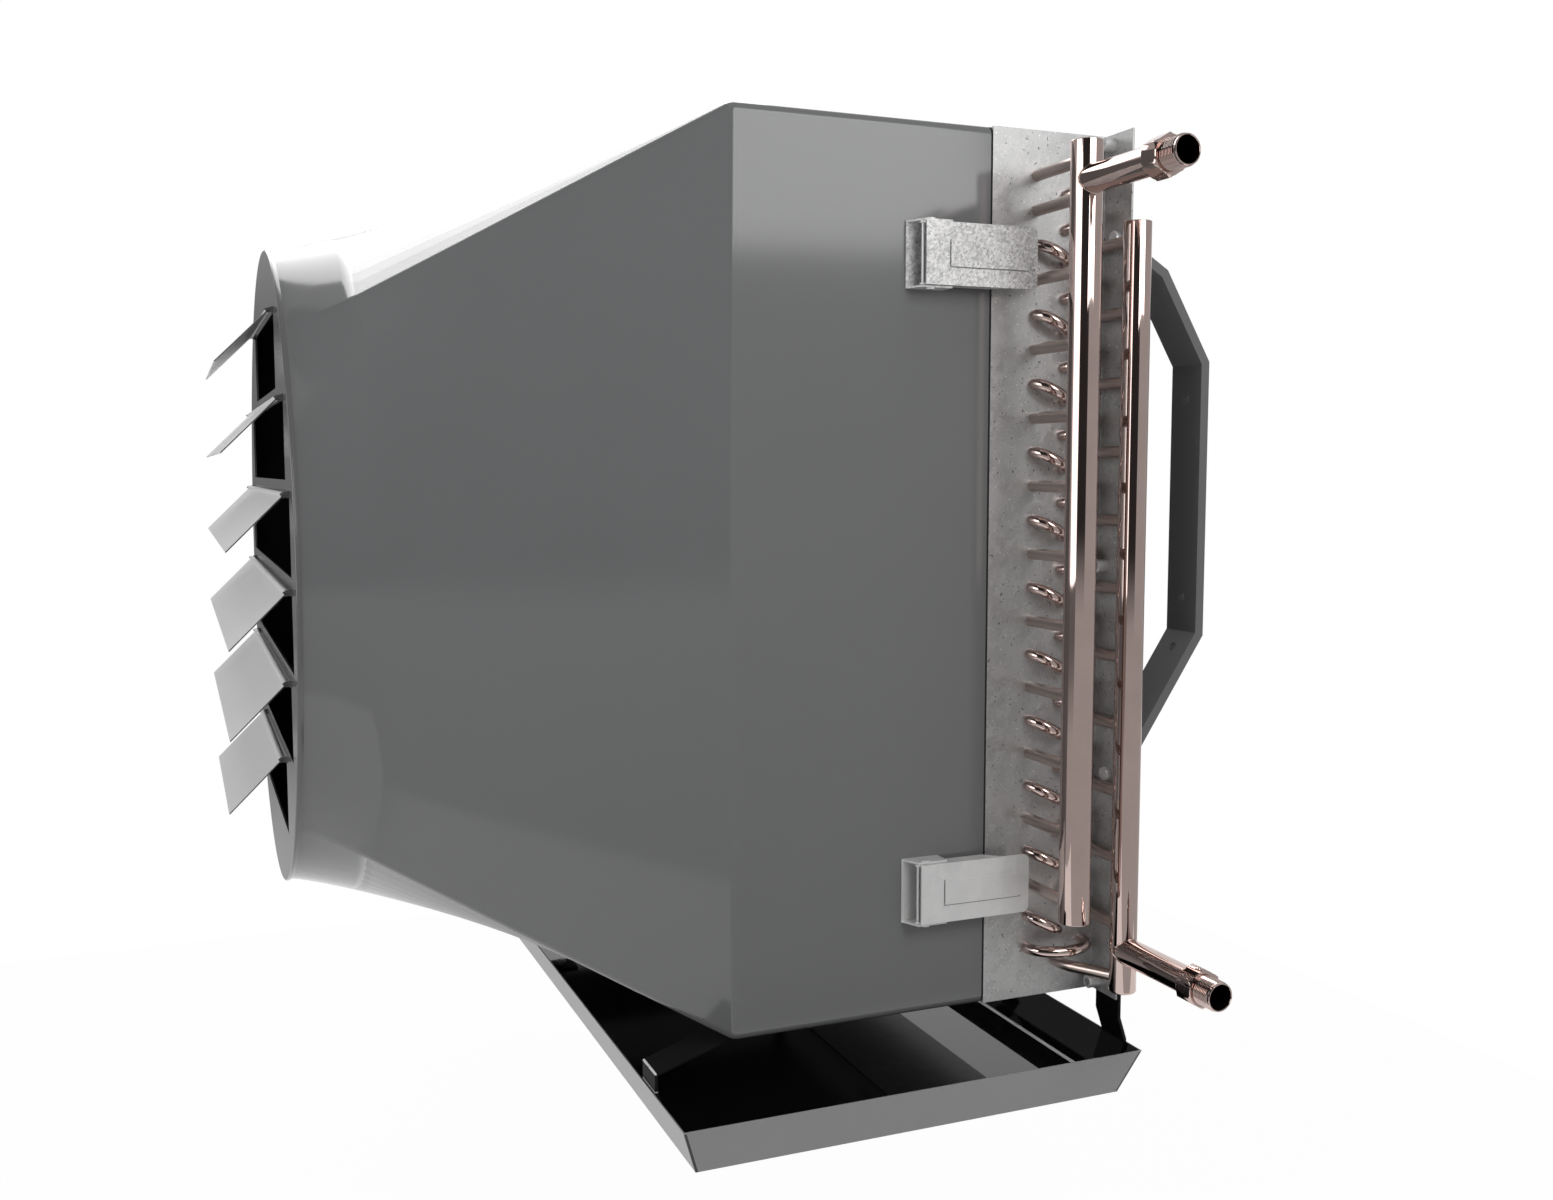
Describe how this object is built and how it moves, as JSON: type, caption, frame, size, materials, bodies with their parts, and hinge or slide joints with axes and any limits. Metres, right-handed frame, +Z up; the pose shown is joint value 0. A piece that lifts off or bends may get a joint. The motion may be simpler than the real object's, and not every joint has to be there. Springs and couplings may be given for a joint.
{
  "type": "hot water unit heater",
  "caption": "Wall-held hot water unit heater: sheet-metal case narrowing to a round outlet with hinged louvres, finned coil with pipe headers, draw latches, drain pan and wall brackets.",
  "frame": {"origin": "centre of the four wall bolt holes, on the face of the brackets that meets the wall", "axes": "+Y back into the wall, against the air flow; +Z up; +X towards the pipe headers"},
  "size_m": [1.069, 0.8759, 0.9335],
  "materials": {
    "case_paint": "semi-gloss grey enamel",
    "louvre_paint": "light grey enamel",
    "plate_paint": "mid grey enamel",
    "galvanised": "spangled zinc coating",
    "plain_latch": "plain light grey zinc plate",
    "copper": "drawn copper, slightly dulled",
    "fins": "plain aluminium fin stock",
    "pan_paint": "grey outside, glossy black inside",
    "strap_paint": "black enamel",
    "bracket_paint": "dark grey enamel",
    "zinc_screw": "zinc plated",
    "gasket_foam": "closed-cell foam",
    "motor_paint": "black motor enamel",
    "fan_metal": "pressed aluminium",
    "carrier_metal": "black enamel"
  },
  "bodies": {
    "unit": {"housing_shell": "case_paint", "fan_panel": "case_paint", "seam_gasket": "gasket_foam", "outlet_plate": "plate_paint", "louvre_pins": "zinc_screw", "motor_body": "motor_paint", "motor_carrier": "carrier_metal", "coil_end_plate_near": "galvanised", "coil_end_plate_far": "galvanised", "coil_top_sheet": "galvanised", "coil_bottom_sheet": "galvanised", "fin_pack": "fins", "near_bends": "copper", "far_bends": "copper", "crossover_tube": "copper", "front_header": "copper", "rear_header": "copper", "front_branch": "copper", "rear_branch": "copper", "front_adapter": "copper", "rear_adapter": "copper", "front_stubs": "copper", "rear_stubs": "copper", "latch_base_upper_near": "galvanised", "latch_keeper_upper_near": "galvanised", "latch_base_upper_far": "galvanised", "latch_keeper_upper_far": "galvanised", "latch_base_lower_near": "plain_latch", "latch_keeper_lower_near": "plain_latch", "latch_base_lower_far": "plain_latch", "latch_keeper_lower_far": "plain_latch", "latch_rivets": "zinc_screw", "flange_screws": "zinc_screw", "bracket_bolts": "zinc_screw", "strap_screws": "zinc_screw", "drain_pan": "pan_paint", "drain_spout": "pan_paint", "front_strap_near": "strap_paint", "front_strap_far": "strap_paint", "rear_strap_near": "strap_paint", "rear_strap_far": "strap_paint", "wall_bracket_near": "bracket_paint", "wall_bracket_far": "bracket_paint"},
    "louvre_1": {"louvre_1": "louvre_paint"},
    "louvre_2": {"louvre_2": "louvre_paint"},
    "louvre_3": {"louvre_3": "louvre_paint"},
    "louvre_4": {"louvre_4": "louvre_paint"},
    "louvre_5": {"louvre_5": "louvre_paint"},
    "louvre_6": {"louvre_6": "louvre_paint"},
    "fan": {"fan_hub": "fan_metal", "fan_blades": "fan_metal", "motor_shaft": "zinc_screw"},
    "lever_upper_near": {"latch_lever_upper_near": "galvanised"},
    "bail_upper_near": {"latch_bail_upper_near": "zinc_screw"},
    "lever_upper_far": {"latch_lever_upper_far": "galvanised"},
    "bail_upper_far": {"latch_bail_upper_far": "zinc_screw"},
    "lever_lower_near": {"latch_lever_lower_near": "plain_latch"},
    "bail_lower_near": {"latch_bail_lower_near": "zinc_screw"},
    "lever_lower_far": {"latch_lever_lower_far": "plain_latch"},
    "bail_lower_far": {"latch_bail_lower_far": "zinc_screw"}
  },
  "joints": [
    {"name": "louvre_1_hinge", "type": "hinge", "parent": "unit", "child": "louvre_1", "pos_m": [0, -0.8277, 0.17455], "axis": [-1, 0, 0], "range_deg": [-45, 40]},
    {"name": "louvre_2_hinge", "type": "hinge", "parent": "unit", "child": "louvre_2", "pos_m": [0, -0.8277, 0.09135], "axis": [-1, 0, 0], "range_deg": [-45, 40]},
    {"name": "louvre_3_hinge", "type": "hinge", "parent": "unit", "child": "louvre_3", "pos_m": [0, -0.8277, 0.00815], "axis": [-1, 0, 0], "range_deg": [-45, 40]},
    {"name": "louvre_4_hinge", "type": "hinge", "parent": "unit", "child": "louvre_4", "pos_m": [0, -0.8277, -0.07505], "axis": [-1, 0, 0], "range_deg": [-45, 40]},
    {"name": "louvre_5_hinge", "type": "hinge", "parent": "unit", "child": "louvre_5", "pos_m": [0, -0.8277, -0.15825], "axis": [-1, 0, 0], "range_deg": [-45, 40]},
    {"name": "louvre_6_hinge", "type": "hinge", "parent": "unit", "child": "louvre_6", "pos_m": [0, -0.8277, -0.24145], "axis": [-1, 0, 0], "range_deg": [-45, 40]},
    {"name": "fan_spin", "type": "hinge", "parent": "unit", "child": "fan", "pos_m": [0, -0.449, -0.07], "axis": [0, -1, 0], "continuous": true},
    {"name": "lever_upper_near_hinge", "type": "hinge", "parent": "unit", "child": "lever_upper_near", "pos_m": [0.406, -0.2845, 0.22], "axis": [0, 0, -1], "range_deg": [0, 165]},
    {"name": "bail_upper_near_hinge", "type": "hinge", "parent": "lever_upper_near", "child": "bail_upper_near", "pos_m": [0.40711, -0.29242, 0.22], "axis": [0, 0, -1], "range_deg": [-165, 0]},
    {"name": "lever_upper_far_hinge", "type": "hinge", "parent": "unit", "child": "lever_upper_far", "pos_m": [-0.406, -0.2845, 0.22], "axis": [0, 0, 1], "range_deg": [0, 165]},
    {"name": "bail_upper_far_hinge", "type": "hinge", "parent": "lever_upper_far", "child": "bail_upper_far", "pos_m": [-0.40711, -0.29242, 0.22], "axis": [0, 0, 1], "range_deg": [-165, 0]},
    {"name": "lever_lower_near_hinge", "type": "hinge", "parent": "unit", "child": "lever_lower_near", "pos_m": [0.406, -0.2845, -0.36], "axis": [0, 0, -1], "range_deg": [0, 165]},
    {"name": "bail_lower_near_hinge", "type": "hinge", "parent": "lever_lower_near", "child": "bail_lower_near", "pos_m": [0.40711, -0.29242, -0.36], "axis": [0, 0, -1], "range_deg": [-165, 0]},
    {"name": "lever_lower_far_hinge", "type": "hinge", "parent": "unit", "child": "lever_lower_far", "pos_m": [-0.406, -0.2845, -0.36], "axis": [0, 0, 1], "range_deg": [0, 165]},
    {"name": "bail_lower_far_hinge", "type": "hinge", "parent": "lever_lower_far", "child": "bail_lower_far", "pos_m": [-0.40711, -0.29242, -0.36], "axis": [0, 0, 1], "range_deg": [-165, 0]}
  ],
  "couplings": [
    {"joint": "bail_upper_near_hinge", "follows": "lever_upper_near_hinge", "ratio": -1},
    {"joint": "bail_upper_far_hinge", "follows": "lever_upper_far_hinge", "ratio": -1},
    {"joint": "bail_lower_near_hinge", "follows": "lever_lower_near_hinge", "ratio": -1},
    {"joint": "bail_lower_far_hinge", "follows": "lever_lower_far_hinge", "ratio": -1}
  ]
}
